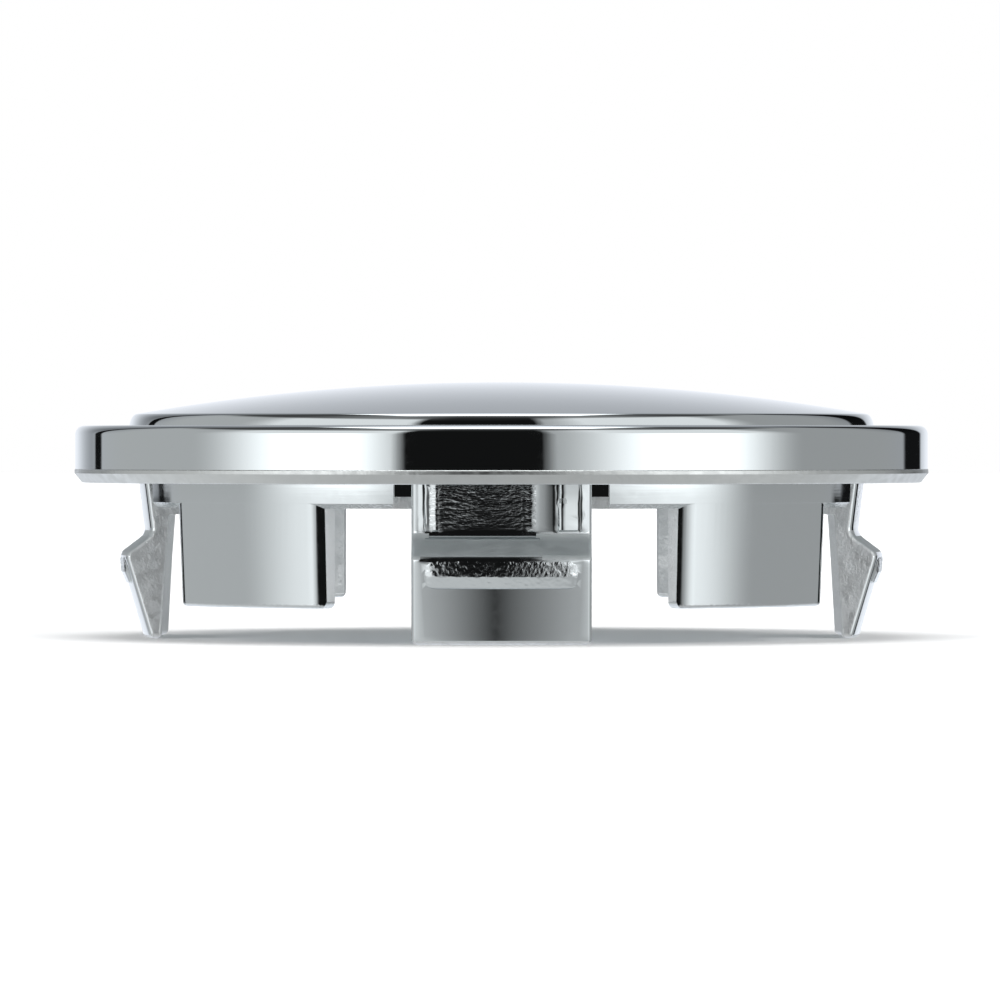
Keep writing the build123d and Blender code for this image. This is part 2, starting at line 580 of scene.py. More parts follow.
@dataclass
class GuideTab:
    """One drafted tab under the ring, whose ends roll over before their crease."""

    half_angle: float = 17.25
    wall: float = 2.15
    foot_z: float = 2.5
    inner_draft: float = 0.2
    roll_r: float = 2.3
    roll_turn: float = 35.0
    inner_soft: float = 0.3
    foot_bevel: float = 0.3
    corner_r: float = 0.6
    sink: float = 0.7
    flush: float = 0.004
    roll_steps: int = 9
    outer_steps: int = 26
    inner_steps: int = 14
    foot_segments: int = 3
    corner_cuts: tuple[float, ...] = (18.0, 36.0, 54.0, 72.0)
    end_facing: float = 0.5
    outer_facing: float = 0.7
    angles: tuple[float, ...] = (44.0, 136.0, 224.0, 316.0)

    def plan(self, outer_r: float, inner_r: float) -> list[Vector]:
        """Gives the outline of the tab seen from above.

        Args:
            outer_r: The radius of its outer face.
            inner_r: The radius of its inner face.

        Returns:
            The points in the XY plane, for a tab centred on +X.
        """
        half = math.radians(self.half_angle)
        roll = math.radians(self.roll_turn)
        roll_centre = outer_r - self.roll_r
        past = self.roll_r * math.sin(roll)
        roll_start = half - math.atan2(past, roll_centre + self.roll_r * math.cos(roll))
        middle = Vector((0, 0, 0))
        right = roll_centre * Vector((math.cos(roll_start), -math.sin(roll_start), 0))
        left = roll_centre * Vector((math.cos(roll_start), math.sin(roll_start), 0))
        inner_half = half - self.inner_soft / inner_r
        soft_r = inner_r + self.inner_soft
        points = self._arc(right, self.roll_r, -roll_start - roll, -roll_start, self.roll_steps)
        points += self._arc(middle, outer_r, -roll_start, roll_start, self.outer_steps)[1:]
        left_end = self._arc(left, self.roll_r, roll_start, roll_start + roll, self.roll_steps)
        points += left_end[1:]
        points.append(soft_r * Vector((math.cos(half), math.sin(half), 0)))
        points += self._arc(middle, inner_r, inner_half, -inner_half, self.inner_steps)
        points.append(soft_r * Vector((math.cos(half), -math.sin(half), 0)))
        return points

    @staticmethod
    def _arc(centre: Vector, radius: float, start: float, end: float, steps: int) -> list[Vector]:
        """Gives the points of an arc in the XY plane between two angles in radians."""
        turns = [start + (end - start) * step / steps for step in range(steps + 1)]
        return [centre + radius * Vector((math.cos(turn), math.sin(turn), 0)) for turn in turns]

    def build(self, body: TurnedBody) -> bpy.types.Object:
        """Models the tab on the +X side.

        Args:
            body: The body whose ring the tab hangs from.

        Returns:
            The closed tab.
        """
        top_z = body.ring_foot_z + self.sink
        outer_r = body.skirt_outer_r(top_z) - self.flush
        inner_r = body.skirt_outer_r(body.ring_foot_z) - self.wall
        foot_outer_r = body.skirt_outer_r(self.foot_z) - self.flush
        inner_run = (top_z - self.foot_z) * math.tan(math.radians(self.inner_draft))
        split_r = inner_r + 2 * self.inner_soft
        outline = [point + Vector((0, 0, top_z)) for point in self.plan(outer_r, inner_r)]
        piece = Bench.chain("guide_tab", outline)
        bpy.ops.mesh.edge_face_add()
        drop = (0, 0, self.foot_z - top_z)
        bpy.ops.mesh.extrude_region_move(TRANSFORM_OT_translate={"value": drop})
        self._draft_foot(lambda at: at.xy.length > split_r, foot_outer_r / outer_r)
        self._draft_foot(lambda at: at.xy.length <= split_r, (inner_r + inner_run) / inner_r)
        Bench.clean()
        Bench.select_edges(
            lambda one, two: max(abs(one.z - self.foot_z), abs(two.z - self.foot_z)) < WELD_MM
        )
        bpy.ops.mesh.bevel(offset=self.foot_bevel, segments=self.foot_segments)
        for side in (-1, 1):
            self._round_corner(inner_r, side)
        Bench.clean()
        bpy.ops.object.mode_set(mode="OBJECT")
        return piece

    def _draft_foot(self, test: VertexTest, factor: float) -> None:
        """Scales the vertices of the foot that pass a test about the axis."""
        Bench.select_vertices(lambda at: abs(at.z - self.foot_z) < WELD_MM and test(at))
        bpy.ops.transform.resize(value=(factor, factor, 1), center_override=(0, 0, 0))

    def _round_corner(self, inner_r: float, side: int) -> None:
        """Cuts a lower corner of the tab round.

        Args:
            inner_r: The radius of the inner face.
            side: 1 for the end on the +Y side, -1 for the other one.
        """
        half = math.radians(self.half_angle) * side
        along = Vector((-math.sin(half), math.cos(half), 0)) * side
        corner = Vector((inner_r * math.cos(half), inner_r * math.sin(half), self.foot_z))
        Bench.round_off(corner, along, self.corner_r, self.corner_cuts)

    def dress(self, piece: bpy.types.Object, finishes: "Finishes") -> None:
        """Puts the finishes on the tab.

        Args:
            piece: The tab, active.
            finishes: The materials.
        """
        coats = (
            # Every face first takes the cast texture, whose far lighter colour is painted light
            (Plate.CAST, every_face),
            # The ends take the frosted texture, whose near-white, partly diffuse colour is
            # painted light
            (
                Plate.FROST,
                lambda at, normal: abs(normal.xy.dot(at.xy.normalized())) < self.end_facing,
            ),
            (Plate.RIPPLED, lambda at, normal: normal.z < -UPRIGHT),
            (
                Plate.MOULDED,
                lambda at, normal: normal.xy.dot(at.xy.normalized()) > self.outer_facing
                and abs(normal.z) < UPRIGHT,
            ),
        )
        Bench.dress(piece, finishes, coats)


@dataclass(frozen=True)
class Rib:
    """One low upright rib on the face of a stem."""

    across: float
    width: float
    height: float


@dataclass
class SnapClip:
    """One snap clip: a stem, a barb with a bead on its crest, and a block behind its root."""

    width: float = 12.8
    root_r: float = 26.8
    inner_r: float = 25.2
    root_soft: float = 4.0
    outer_lean: float = 6.9
    top_z: float = 14.6
    block_foot_z: float = 9.1
    block_inner_r: float = 23.92
    block_edge_r: float = 0.2
    barb_r: float = 28.25
    barb_z: float = 6.2
    barb_slope: float = 53.0
    crest_r: float = 0.6
    neck_soft: float = 0.9
    tip_outer_r: float = 26.416
    tip_inner_r: float = 25.67
    tip_r: float = 0.45
    tip_back_r: float = 0.38
    tip_corner_r: float = 0.5
    tip_cuts: tuple[float, ...] = (22.5, 45.0, 67.5)
    edge_r: float = 0.3
    edge_segments: int = 4
    slot: float = 1.28
    window_top_z: float = 13.2
    pocket_z: float = 10.5
    pocket_depth: float = 0.15
    row_step: float = 0.4
    soft_steps: int = 8
    tip_steps: int = 6
    edge_steps: int = 3
    bead_half_width: float = 5.75
    bead_top_z: float = 6.3
    bead_top_inset: float = 0.02
    bead_top_r: float = 0.55
    bead_top_steps: int = 6
    bead_turn_z: float = 4.87
    bead_turn_inset: float = 0.15
    bead_turn_r: float = 0.25
    bead_ledge_z: float = 4.05
    bead_ledge_inset: float = 0.50
    bead_ledge_r: float = 0.15
    bead_steps: int = 4
    bead_foot_z: float = 3.86
    bead_foot_inset: float = 0.95
    bead_back_r: float = 27.0
    bead_end: float = 1.0
    bead_end_scale: float = 0.4
    bead_end_depth: float = 0.3
    bead_grain: float = 0.11
    bead_lump: float = 0.16
    bead_lump_height: float = 0.07
    bead_low_weight: float = 0.3
    bead_dress_drop: float = 0.05
    count: int = 4
    ribbed_angle: float = 270.0
    half_turn: float = 17.7
    columns: int = 12
    rib_cuts: int = 8
    rib_wave: float = 0.6
    rib_wander: float = 0.16
    ripple_start: float = -5.15
    ripple_end: float = 2.5
    stem_depth: float = 0.4
    front_facing: float = 0.4
    stem_facing: float = 0.5
    slope_facing: float = 0.1
    ripple_slope_facing: float = 0.6
    ribs: tuple[Rib, ...] = (
        Rib(-5.58, 0.78, 0.05),
        Rib(-4.8, 0.7, 0.045),
        Rib(1.95, 1.0, 0.035),
        Rib(4.1, 1.0, 0.10),
        Rib(5.62, 0.4, 0.03),
    )

    def neck(self, seat_z: float) -> Point:
        """Finds where the stem meets the upper slope of the barb.

        Args:
            seat_z: The level of the seat under the flange, where the stem starts to lean.

        Returns:
            The radius and the level.
        """
        lean = math.tan(math.radians(self.outer_lean))
        slope = math.tan(math.radians(self.barb_slope))
        rise = self.barb_r - self.root_r + seat_z * lean + self.barb_z * slope
        level = rise / (lean + slope)
        return self.root_r - (seat_z - level) * lean, level

    def section(self, seat_z: float) -> list[Point]:
        """Gives the section of the clip without its bead.

        Args:
            seat_z: The level of the seat under the flange.

        Returns:
            The points as radius and level.
        """
        neck_r, neck_z = self.neck(seat_z)
        tip_middle_r = self.tip_inner_r + self.tip_back_r
        front = rounded(
            [
                Corner(self.root_r, self.top_z),
                Corner(self.root_r, seat_z, self.root_soft, self.edge_steps),
                Corner(neck_r, neck_z, self.neck_soft, self.soft_steps),
                Corner(self.barb_r, self.barb_z, self.crest_r, self.soft_steps),
                Corner(self.tip_outer_r, 0.0, self.tip_r, self.tip_steps),
                Corner(tip_middle_r, 0.0),
            ]
        )
        back = rounded(
            [
                Corner(tip_middle_r, 0.0),
                Corner(self.tip_inner_r, 0.0, self.tip_back_r, self.tip_steps),
                Corner(self.inner_r, self.block_foot_z, self.block_edge_r, self.edge_steps),
                Corner(self.block_inner_r, self.block_foot_z),
                Corner(self.block_inner_r, self.top_z),
            ]
        )
        return spaced(front, self.row_step) + back[1:]

    def build(self, body: TurnedBody, ribs: Sequence[Rib]) -> bpy.types.Object:
        """Models the clip on the +X side.

        Args:
            body: The body that the clip hangs from.
            ribs: The ribs on the face of its stem.

        Returns:
            The closed clip.
        """
        piece = Bench.swept("snap_clip", self.section(body.seat_z), self.half_turn, self.columns)
        half = self.width / 2
        for side in (-1, 1):
            Bench.trim((0, side * half, 0), (0, side, 0))
        Bench.clean()
        Bench.select_edges(
            lambda one, two: one.y * two.y > 0
            and max(abs(abs(one.y) - half), abs(abs(two.y) - half)) < WELD_MM
            and min(one.xy.length, two.xy.length) > self.inner_r
        )
        bpy.ops.mesh.bevel(offset=self.edge_r, segments=self.edge_segments)
        for side in (-1, 1):
            corner = Vector((0, side * half, 0))
            Bench.round_off(corner, Vector((0, side, 0)), self.tip_corner_r, self.tip_cuts)
        Bench.clean()
        neck_z = self.neck(body.seat_z)[1]
        for rib in ribs:
            self._raise_rib(rib, neck_z)
        Bench.clean()
        Bench.select_vertices(
            lambda at: at.z > neck_z + self.row_step
            and at.xy.length > self.inner_r + self.stem_depth
            and any(abs(at.y - rib.across) <= rib.width / 2 for rib in ribs)
        )
        bpy.ops.object.vertex_group_assign_new()
        bpy.ops.object.mode_set(mode="OBJECT")
        if ribs:
            # The ribs wander sideways a little, as they do on a moulding
            Bench.displace(piece, "rib_wave", self.rib_wave, self.rib_wander, direction="Y")
        return piece

    def _raise_rib(self, rib: Rib, neck_z: float) -> None:
        """Raises a low rib on the face of the stem.

        Args:
            rib: The rib.
            neck_z: The level of the neck, where the rib ends.
        """
        for cut in range(self.rib_cuts + 1):
            share = cut / self.rib_cuts
            across = rib.across + (share - 0.5) * rib.width
            Bench.select_faces(lambda at, normal: at.z > neck_z and normal.x > self.stem_facing)
            bpy.ops.mesh.bisect(plane_co=(0, across, 0), plane_no=(0, 1, 0), threshold=CUT_MM)
            height = rib.height * math.sin(math.pi * share) ** 2
            factor = 1 + height / self.root_r
            Bench.select_vertices(
                lambda at: abs(at.y - across) < WELD_MM
                and at.z > neck_z + self.neck_soft / 2
                and at.xy.length > self.inner_r + self.stem_depth
            )
            bpy.ops.transform.resize(value=(factor, factor, 1), center_override=(0, 0, 0))

    def build_bead(self) -> bpy.types.Object:
        """Models the lumpy bead on the crest of the barb.

        Returns:
            The closed bead.
        """
        crest_r = self.barb_r
        turn_r = crest_r - self.bead_turn_inset
        ledge_r = crest_r - self.bead_ledge_inset
        outline = rounded(
            [
                Corner(self.bead_back_r, self.bead_top_z),
                Corner(
                    crest_r - self.bead_top_inset,
                    self.bead_top_z,
                    self.bead_top_r,
                    self.bead_top_steps,
                ),
                Corner(turn_r, self.bead_turn_z, self.bead_turn_r, self.bead_steps),
                Corner(ledge_r, self.bead_ledge_z, self.bead_ledge_r, self.bead_steps),
                Corner(crest_r - self.bead_foot_inset, self.bead_foot_z),
                Corner(self.bead_back_r, self.bead_foot_z),
            ]
        )
        section = spaced(outline, self.bead_grain)
        half_turn = math.degrees(math.asin(self.bead_half_width / self.barb_r))
        columns = round(2 * self.bead_half_width / self.bead_grain)
        piece = Bench.swept("barb_bead", section, half_turn, columns)
        self._round_bead_ends(math.radians(half_turn), columns)
        Bench.select_vertices(
            lambda at: at.z > self.bead_turn_z and at.xy.length > self.bead_back_r
        )
        bpy.ops.object.vertex_group_assign_new()
        Bench.select_vertices(
            lambda at: self.bead_foot_z + self.bead_grain < at.z <= self.bead_turn_z
            and at.xy.length > self.bead_back_r + self.bead_grain
        )
        bpy.context.scene.tool_settings.vertex_group_weight = self.bead_low_weight
        bpy.ops.object.vertex_group_assign()
        bpy.context.scene.tool_settings.vertex_group_weight = 1.0
        bpy.ops.object.mode_set(mode="OBJECT")
        Bench.displace(piece, "bead_lumps", self.bead_lump, self.bead_lump_height, depth=1)
        return piece

    def _round_bead_ends(self, half_turn: float, columns: int) -> None:
        """Draws the last columns of the bead in, so that its ends are round.

        Args:
            half_turn: How far the bead goes to each side, in radians.
            columns: How many columns it has.
        """
        pitch = 2 * half_turn / columns
        smallest = self.bead_end_scale
        middle_r = self.bead_back_r + self.bead_end_depth
        for column in range(math.ceil(self.bead_end / self.bead_grain)):
            inset = 1 - column * self.bead_grain / self.bead_end
            factor = smallest + (1 - smallest) * math.sqrt(1 - inset**2)
            for side in (-1, 1):
                turn = side * (half_turn - column * pitch)
                middle = Vector((math.cos(turn), math.sin(turn), 0)) * middle_r
                middle.z = (self.bead_top_z + self.bead_foot_z) / 2
                Bench.select_vertices(lambda at: abs(math.atan2(at.y, at.x) - turn) < pitch / 4)
                bpy.ops.transform.resize(value=(factor,) * 3, center_override=middle)

    def dress(self, piece: bpy.types.Object, finishes: "Finishes", seat_z: float) -> None:
        """Puts the finishes on the clip.

        Args:
            piece: The clip, active.
            finishes: The materials.
            seat_z: The level of the seat under the flange.
        """
        neck_z = self.neck(seat_z)[1]
        coats = (
            # Every face first takes the cast texture, whose far lighter colour is painted light
            # on the sides and back
            (Plate.CAST, every_face),
            (
                Plate.MOULDED,
                lambda at, normal: normal.x > self.front_facing and at.z > self.tip_r / 2,
            ),
            (
                Plate.STEM,
                lambda at, normal: normal.x > self.stem_facing
                and at.z > neck_z
                and self._in_ripples(at),
            ),
            (
                Plate.INNER,
                lambda at, normal: normal.x > self.front_facing
                and normal.z
                > (self.ripple_slope_facing if self._in_ripples(at) else self.slope_facing),
            ),
        )
        Bench.dress(piece, finishes, coats)

    def _in_ripples(self, at: Vector) -> bool:
        """Says whether a place lies within the rippled part of the clip's width."""
        return self.ripple_start < at.y < self.ripple_end

    def dress_bead(self, piece: bpy.types.Object, finishes: "Finishes") -> None:
        """Puts the finish on the bead.

        Args:
            piece: The bead, active.
            finishes: The materials.
        """
        low_z = self.bead_turn_z - self.bead_dress_drop
        coats = ((Plate.RIPPLED, every_face), (Plate.MOULDED, lambda at, normal: at.z < low_z))
        Bench.dress(piece, finishes, coats)

    def angles(self) -> list[float]:
        """Gives the places of the clips round the axis, in degrees from +X."""
        return [360 * index / self.count for index in range(self.count)]


@dataclass(frozen=True)
class Step:
    """A smooth step from one value to another, along an angle in degrees or along a slope."""

    start: float
    end: float
    low: float = 0.0
    high: float = 1.0


class NodeBook:
    """Adds nodes to one node tree and wires them."""

    def __init__(self, tree: bpy.types.NodeTree) -> None:
        """Starts on the tree that takes the nodes."""
        self.tree = tree

    def add(self, kind: str, **settings: object) -> bpy.types.Node:
        """Adds one node.

        Args:
            kind: The node's type name.
            settings: Properties of the node.

        Returns:
            The node.
        """
        node = self.tree.nodes.new(kind)
        for key, value in settings.items():
            setattr(node, key, value)
        return node

    def feed(self, socket: bpy.types.NodeSocket, value: object) -> None:
        """Links a socket to an output, or sets its constant.

        Args:
            socket: The input socket.
            value: An output socket or a constant.
        """
        if isinstance(value, bpy.types.NodeSocket):
            self.tree.links.new(value, socket)
        else:
            socket.default_value = value

    def math(self, operation: str, *values: object) -> bpy.types.NodeSocket:
        """Adds a Math node.

        Args:
            operation: What it does.
            values: Its inputs, output sockets or constants.

        Returns:
            Its output.
        """
        node = self.add("ShaderNodeMath", operation=operation)
        for socket, value in zip(node.inputs, values):
            self.feed(socket, value)
        return node.outputs[0]

    def product(self, *values: object) -> bpy.types.NodeSocket:
        """Multiplies numbers.

        Args:
            values: The numbers, output sockets or constants.

        Returns:
            Their product.
        """
        result = values[0]
        for value in values[1:]:
            result = self.math("MULTIPLY", result, value)
        return result

    def ramp(
        self,
        value: object,
        start: object,
        end: object,
        low: object = 0.0,
        high: object = 1.0,
        shape: str = "SMOOTHSTEP",
    ) -> bpy.types.NodeSocket:
        """Adds a step from one value to another.

        Args:
            value: What is followed.
            start: Where the step starts.
            end: Where the step ends.
            low: The result before the step.
            high: The result after the step.
            shape: SMOOTHSTEP or LINEAR.

        Returns:
            The result.
        """
        node = self.add("ShaderNodeMapRange", interpolation_type=shape)
        for name, item in zip(
            ("Value", "From Min", "From Max", "To Min", "To Max"), (value, start, end, low, high)
        ):
            self.feed(node.inputs[name], item)
        return node.outputs["Result"]

    def step(self, value: object, step: Step) -> bpy.types.NodeSocket:
        """Adds a step of named numbers along a value, and gives its result."""
        return self.ramp(value, step.start, step.end, step.low, step.high)

    def mix(self, factor: object, one: object, two: object) -> bpy.types.NodeSocket:
        """Mixes two numbers.

        Args:
            factor: 0 for the first, 1 for the second.
            one: The first.
            two: The second.

        Returns:
            The mixture.
        """
        node = self.add("ShaderNodeMix", data_type="FLOAT")
        for socket, value in zip(node.inputs, (factor, None, one, two)):
            if value is not None:
                self.feed(socket, value)
        return node.outputs[0]


@dataclass(frozen=True)
class Waviness:
    """One layer of waviness in the skin under the plating, in millimetres."""

    across: float
    upright: float
    height: float


@dataclass(frozen=True)
class PlateLook:
    """How one finish of the plating looks."""

    name: str
    colour: tuple[float, float, float]
    smooth: float
    rough: float
    coarse: Waviness
    fine: Waviness
    metallic: float = 1.0
    calm_z: float = -2.0
    full_z: float = -1.0


class Finishes:
    """The materials of the plating and the node group they share."""

    PATCH_SCALE = 1.3
    PATCH_DETAIL = 3.0
    PATCH_SMOOTH = 0.35
    PATCH_ROUGH = 0.65
    WAVE_DETAIL = 1.5
    WAVE_DISTORTION = 0.3
    NOISE_MIDDLE = 0.5
    LAYER_PARTS = ("Across", "Upright", "Height")

    LOOKS = {
        Plate.MIRROR: PlateLook(
            "plate_mirror",
            (0.70, 0.735, 0.745),
            smooth=0.02,
            rough=0.05,
            coarse=Waviness(5.0, 5.0, 0.004),
            fine=Waviness(0.5, 6.0, 0.0006),
        ),
        Plate.MOULDED: PlateLook(
            "plate_moulded",
            (0.69, 0.725, 0.735),
            smooth=0.05,
            rough=0.11,
            coarse=Waviness(6.0, 4.0, 0.004),
            fine=Waviness(8.0, 0.25, 0.0012),
        ),
        Plate.STEM: PlateLook(
            "plate_stem",
            (0.68, 0.71, 0.72),
            smooth=0.03,
            rough=0.08,
            coarse=Waviness(0.9, 0.25, 0.052),
            fine=Waviness(0.3, 0.12, 0.025),
            calm_z=7.9,
            full_z=8.8,
        ),
        Plate.RIPPLED: PlateLook(
            "plate_rippled",
            (0.69, 0.72, 0.73),
            smooth=0.06,
            rough=0.16,
            coarse=Waviness(0.4, 0.5, 0.03),
            fine=Waviness(0.16, 0.2, 0.02),
        ),
        Plate.SATIN: PlateLook(
            "plate_satin",
            (0.76, 0.78, 0.77),
            smooth=0.30,
            rough=0.42,
            coarse=Waviness(0.9, 0.9, 0.03),
            fine=Waviness(0.25, 0.25, 0.010),
        ),
        # Painted light: a colour far lighter than the rest of the plating, so that sides, backs
        # and window walls look lit
        Plate.CAST: PlateLook(
            "plate_cast_painted_light",
            (0.93, 0.945, 0.95),
            smooth=0.48,
            rough=0.70,
            coarse=Waviness(1.0, 1.3, 0.11),
            fine=Waviness(0.2, 0.26, 0.05),
            metallic=0.96,
        ),
        Plate.INNER: PlateLook(
            "plate_inner",
            (0.79, 0.82, 0.825),
            smooth=0.55,
            rough=0.75,
            coarse=Waviness(2.0, 2.0, 0.02),
            fine=Waviness(0.4, 0.4, 0.006),
        ),
        # Painted light: a near-white colour with a large diffuse share, which also takes the
        # world's lift for diffuse rays, so that the tab ends look lit
        Plate.FROST: PlateLook(
            "plate_frost_painted_light",
            (0.95, 0.965, 0.97),
            smooth=0.40,
            rough=0.60,
            coarse=Waviness(0.7, 1.0, 0.07),
            fine=Waviness(0.2, 0.26, 0.05),
            metallic=0.4,
        ),
    }

    def __init__(self) -> None:
        """Makes the shared node group and every material."""
        self.skin = self._skin_group()
        self._materials = {plate: self._material(look) for plate, look in self.LOOKS.items()}

    def of(self, plate: Plate) -> bpy.types.Material:
        """Gives the material of a finish."""
        return self._materials[plate]

    def _skin_group(self) -> bpy.types.NodeTree:
        """Makes the node group of the moulded skin that the plating follows.

        Returns:
            The group, with a Height in millimetres and a Roughness.
        """
        group = bpy.data.node_groups.new("moulded_skin", "ShaderNodeTree")
        names = ["Smooth", "Rough", "Calm Level", "Full Level"]
        names += [f"{layer} {part}" for layer in ("Coarse", "Fine") for part in self.LAYER_PARTS]
        group.interface.new_socket("Vector", in_out="INPUT", socket_type="NodeSocketVector")
        for name in names:
            group.interface.new_socket(name, in_out="INPUT", socket_type="NodeSocketFloat")
        for name in ("Height", "Roughness"):
            group.interface.new_socket(name, in_out="OUTPUT", socket_type="NodeSocketFloat")
        book = NodeBook(group)
        source = book.add("NodeGroupInput").outputs
        result = book.add("NodeGroupOutput").inputs
        coarse = self._layer(book, source, "Coarse")
        fine = self._layer(book, source, "Fine")
        place = book.add("ShaderNodeSeparateXYZ")
        book.feed(place.inputs[0], source["Vector"])
        swell = book.ramp(place.outputs[2], source["Calm Level"], source["Full Level"])
        book.feed(result["Height"], book.product(book.math("ADD", coarse, fine), swell))
        patches = book.add("ShaderNodeTexNoise")
        book.feed(patches.inputs["Vector"], source["Vector"])
        book.feed(patches.inputs["Scale"], self.PATCH_SCALE)
        book.feed(patches.inputs["Detail"], self.PATCH_DETAIL)
        rough = book.ramp(
            patches.outputs["Fac"],
            self.PATCH_SMOOTH,
            self.PATCH_ROUGH,
            source["Smooth"],
            source["Rough"],
        )
        book.feed(result["Roughness"], rough)
        return group

    def _layer(
        self, book: NodeBook, source: bpy.types.NodeOutputs, layer: str
    ) -> bpy.types.NodeSocket:
        """Adds one layer of waviness to the group.

        Args:
            book: The group.
            source: The outputs of the group's input node.
            layer: The name of the layer.

        Returns:
            The height of the layer in millimetres.
        """
        across = book.math("DIVIDE", 1.0, source[f"{layer} Across"])
        upright = book.math("DIVIDE", 1.0, source[f"{layer} Upright"])
        scale = book.add("ShaderNodeCombineXYZ")
        for socket, value in zip(scale.inputs, (across, across, upright)):
            book.feed(socket, value)
        stretch = book.add("ShaderNodeVectorMath", operation="MULTIPLY")
        book.feed(stretch.inputs[0], source["Vector"])
        book.feed(stretch.inputs[1], scale.outputs[0])
        noise = book.add("ShaderNodeTexNoise")
        book.feed(noise.inputs["Vector"], stretch.outputs[0])
        book.feed(noise.inputs["Scale"], 1.0)
        book.feed(noise.inputs["Detail"], self.WAVE_DETAIL)
        book.feed(noise.inputs["Distortion"], self.WAVE_DISTORTION)
        centred = book.math("SUBTRACT", noise.outputs["Fac"], self.NOISE_MIDDLE)
        return book.product(centred, source[f"{layer} Height"])

    def _material(self, look: PlateLook) -> bpy.types.Material:
        """Makes the material of one finish.

        Args:
            look: The finish.

        Returns:
            The material.
        """
        material = bpy.data.materials.new(look.name)
        material.use_nodes = True
        book = NodeBook(material.node_tree)
        shader = material.node_tree.nodes["Principled BSDF"]
        shader.inputs["Base Color"].default_value = (*look.colour, 1.0)
        shader.inputs["Metallic"].default_value = look.metallic
        place = book.add("ShaderNodeTexCoord")
        in_mm = book.add("ShaderNodeMapping")
        in_mm.inputs["Scale"].default_value = (1 / METRES_PER_MM,) * 3
        book.feed(in_mm.inputs["Vector"], place.outputs["Object"])
        skin = book.add("ShaderNodeGroup", node_tree=self.skin)
        book.feed(skin.inputs["Vector"], in_mm.outputs["Vector"])
        settings = {
            "Smooth": look.smooth,
            "Rough": look.rough,
            "Calm Level": look.calm_z,
            "Full Level": look.full_z,
        }
        for layer, waviness in (("Coarse", look.coarse), ("Fine", look.fine)):
            for part, value in zip(self.LAYER_PARTS, astuple(waviness)):
                settings[f"{layer} {part}"] = value
        for name, value in settings.items():
            skin.inputs[name].default_value = value
        bump = book.add("ShaderNodeBump")
        bump.inputs["Strength"].default_value = 1.0
        bump.inputs["Distance"].default_value = METRES_PER_MM
        book.feed(bump.inputs["Height"], skin.outputs["Height"])
        book.feed(shader.inputs["Normal"], bump.outputs["Normal"])
        book.feed(shader.inputs["Roughness"], skin.outputs["Roughness"])
        return material


@dataclass
class CentreCap:
    """The whole cap: the turned body with its windows, tabs and clips in one mesh."""

    body: TurnedBody = field(default_factory=TurnedBody)
    tab: GuideTab = field(default_factory=GuideTab)
    clip: SnapClip = field(default_factory=SnapClip)
    smooth_angle: float = 33.0
    normal_weight: int = 80
    cutter_overlap: float = 1.0

    def build(self, finishes: Finishes) -> bpy.types.Object:
        """Models every part of the cap and joins them.

        Args:
            finishes: The materials.

        Returns:
            The finished cap in metres.
        """
        shell = self.body.build()
        self.body.dress(shell, finishes)
        log.info("body: %d faces", len(shell.data.polygons))
        ribbed = self.clip.build(self.body, self.clip.ribs)
        self.clip.dress(ribbed, finishes, self.body.seat_z)
        plain = self.clip.build(self.body, ())
        self.clip.dress(plain, finishes, self.body.seat_z)
        bead = self.clip.build_bead()
        self.clip.dress_bead(bead, finishes)
        log.info("clip: %d faces", len(ribbed.data.polygons))
        front = self.clip.ribbed_angle
        front_clip = Bench.ring_of(ribbed, [front])
        other_clips = Bench.ring_of(plain, [at for at in self.clip.angles() if at != front])
        beads = Bench.ring_of(bead, self.clip.angles())
        tab = self.tab.build(self.body)
        self.tab.dress(tab, finishes)
        log.info("tab: %d faces", len(tab.data.polygons))
        for cutter in self._cutters(finishes):
            Bench.combine(shell, cutter, "DIFFERENCE")
        tabs = Bench.ring_of(tab, self.tab.angles)
        for part in (tabs, front_clip, other_clips, beads):
            Bench.combine(shell, part, "UNION")
        self._finish(shell)
        return shell

    def _cutters(self, finishes: Finishes) -> list[bpy.types.Object]:
        """Makes the cutters of the windows and of the pockets in them.

        Args:
            finishes: The materials.

        Returns:
            The cutters, in the order that they are used.
        """
        clip = self.clip
        width = clip.width + 2 * clip.slot
        foot_z = self.body.ring_foot_z - self.cutter_overlap
        deep_r = clip.inner_r - clip.pocket_depth
        low = self.body.cutters(clip.count, width, clip.inner_r, foot_z, clip.window_top_z)
        # The window walls take the cast texture, whose far lighter colour is painted light; the
        # pockets above stay mirror
        Bench.dress(low, finishes, ((Plate.CAST, every_face),))
        pocket_width = width - clip.pocket_depth
        pocket_top_z = clip.window_top_z - clip.pocket_depth
        high = self.body.cutters(clip.count, pocket_width, deep_r, clip.pocket_z, pocket_top_z)
        Bench.dress(high, finishes, ((Plate.MIRROR, every_face),))
        return [low, high]

    def _finish(self, shell: bpy.types.Object) -> None:
        """Cleans the mesh, shades it and brings it to metres.

        Args:
            shell: The joined cap, active.
        """
        bpy.ops.object.mode_set(mode="EDIT")
        Bench.clean()
        bpy.ops.object.mode_set(mode="OBJECT")
        shell.scale = (METRES_PER_MM,) * 3
        bpy.ops.object.transform_apply(location=True, rotation=True, scale=True)
        bpy.ops.object.shade_smooth_by_angle(angle=math.radians(self.smooth_angle))
        weighted = shell.modifiers.new("weighted", "WEIGHTED_NORMAL")
        weighted.keep_sharp = True
        weighted.weight = self.normal_weight
        bpy.ops.object.modifier_apply(modifier=weighted.name)
        log.info("cap: %d faces", len(shell.data.polygons))


@dataclass(frozen=True)
class SoftBox:
    """One upright light beside the cap.

    Azimuths are in degrees, 0 toward the camera and positive to the right of it.
    """

    start: float
    peak: float
    end: float
    radiance: float


@dataclass(frozen=True)
class Gap:
    """One dark gap between two lights, in degrees of azimuth."""

    azimuth: float
    half: float
    feather: float


